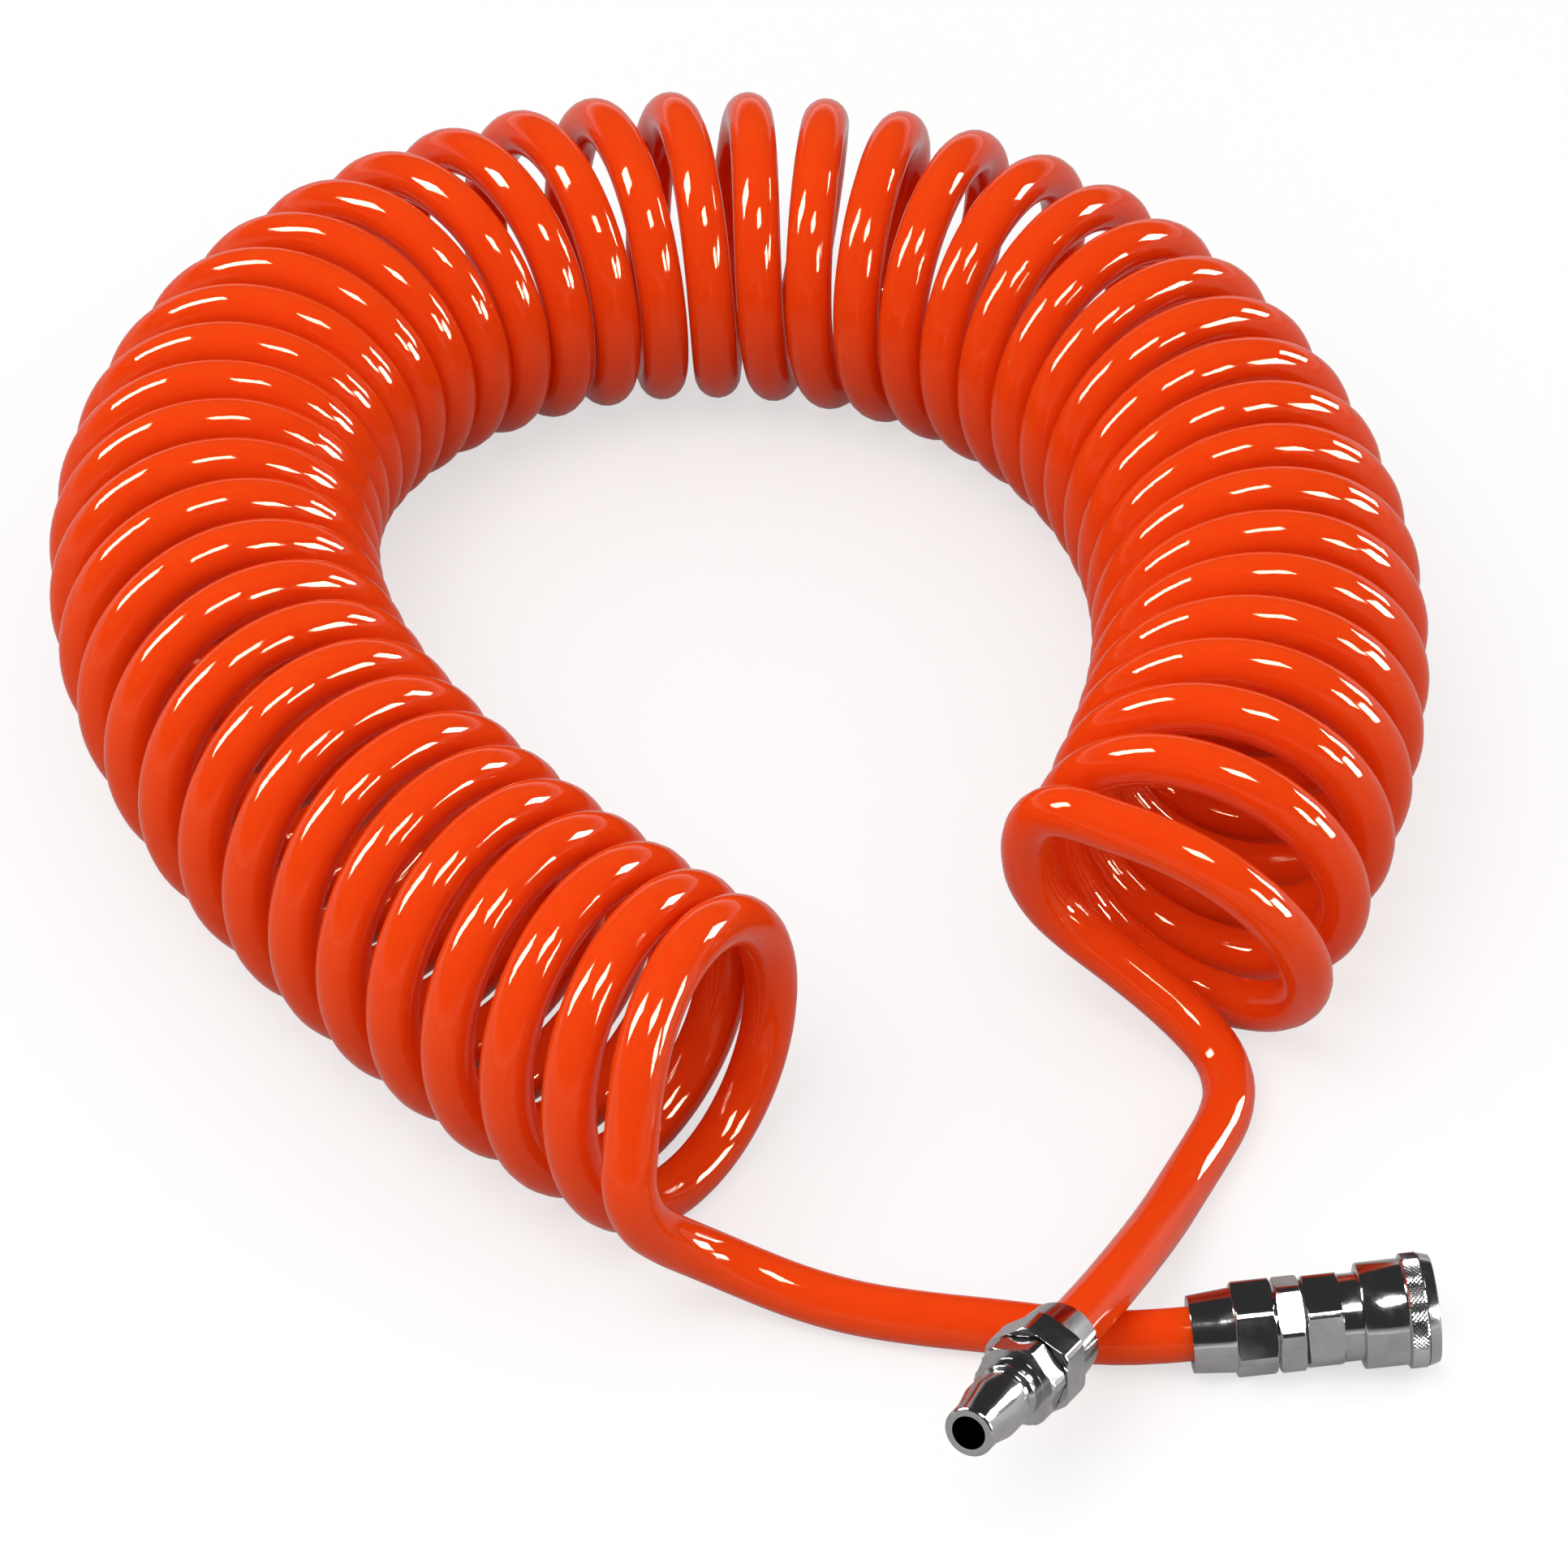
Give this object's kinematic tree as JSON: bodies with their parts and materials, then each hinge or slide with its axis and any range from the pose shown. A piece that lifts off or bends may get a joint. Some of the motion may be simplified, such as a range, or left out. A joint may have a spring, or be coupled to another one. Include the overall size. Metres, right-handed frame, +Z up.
{
  "type": "recoil air hose",
  "caption": "Coiled orange-red polyurethane recoil air hose, laid in a horseshoe, with chromed one-touch couplings: a socket with a sliding locking sleeve and a plug.",
  "frame": {"origin": "middle of the footprint, on the floor that the coil lies on", "axes": "+Z up, the horseshoe opens towards -Y, where the couplings lie"},
  "size_m": [0.3345, 0.4766, 0.0805],
  "materials": {
    "hose": "glossy, slightly see-through orange-red polyurethane",
    "chrome": "bright chrome plate on turned steel",
    "brass": "turned brass",
    "spring_steel": "hardened steel",
    "rubber": "black nitrile rubber"
  },
  "bodies": {
    "root": {"hose_coil": "hose", "socket_tail": "hose", "plug_tail": "hose", "socket_hose_nut": "chrome", "socket_adapter": "chrome", "socket_gasket": "rubber", "socket_body": "chrome", "retaining_ring": "spring_steel", "packing_seal": "rubber", "sleeve_spring": "spring_steel", "valve_spring": "spring_steel", "plug_hose_nut": "chrome", "plug_body": "chrome"},
    "sleeve": {"socket_sleeve": "chrome"},
    "valve": {"valve_poppet": "brass", "valve_seal": "rubber"},
    "ball_1": {"lock_ball_1": "spring_steel"},
    "ball_2": {"lock_ball_2": "spring_steel"},
    "ball_3": {"lock_ball_3": "spring_steel"},
    "ball_4": {"lock_ball_4": "spring_steel"},
    "ball_5": {"lock_ball_5": "spring_steel"},
    "ball_6": {"lock_ball_6": "spring_steel"}
  },
  "joints": [
    {"name": "sleeve_slide", "type": "slide", "parent": "root", "child": "sleeve", "axis": [-0.9941, -0.0765, -0.0767], "range_m": [0, 0.0032], "stiffness_N_per_m": 1500, "springref_m": -0.004, "deforming": ["sleeve_spring"]},
    {"name": "valve_slide", "type": "slide", "parent": "root", "child": "valve", "axis": [-0.9941, -0.0765, -0.0767], "range_m": [0, 0.003], "stiffness_N_per_m": 800, "springref_m": -0.003, "deforming": ["valve_spring"]},
    {"name": "ball_1_slide", "type": "slide", "parent": "root", "child": "ball_1", "axis": [-0.0635, -0.1618, 0.9848], "range_m": [0, 0.0012]},
    {"name": "ball_2_slide", "type": "slide", "parent": "root", "child": "ball_2", "axis": [0.0442, -0.9329, 0.3573], "range_m": [0, 0.0012]},
    {"name": "ball_3_slide", "type": "slide", "parent": "root", "child": "ball_3", "axis": [0.1078, -0.7712, -0.6275], "range_m": [0, 0.0012]},
    {"name": "ball_4_slide", "type": "slide", "parent": "root", "child": "ball_4", "axis": [0.0635, 0.1618, -0.9848], "range_m": [0, 0.0012]},
    {"name": "ball_5_slide", "type": "slide", "parent": "root", "child": "ball_5", "axis": [-0.0442, 0.9329, -0.3573], "range_m": [0, 0.0012]},
    {"name": "ball_6_slide", "type": "slide", "parent": "root", "child": "ball_6", "axis": [-0.1078, 0.7712, 0.6275], "range_m": [0, 0.0012]}
  ],
  "couplings": [
    {"joint": "ball_1_slide", "follows": "sleeve_slide", "ratio": 0.375},
    {"joint": "ball_2_slide", "follows": "sleeve_slide", "ratio": 0.375},
    {"joint": "ball_3_slide", "follows": "sleeve_slide", "ratio": 0.375},
    {"joint": "ball_4_slide", "follows": "sleeve_slide", "ratio": 0.375},
    {"joint": "ball_5_slide", "follows": "sleeve_slide", "ratio": 0.375},
    {"joint": "ball_6_slide", "follows": "sleeve_slide", "ratio": 0.375}
  ]
}
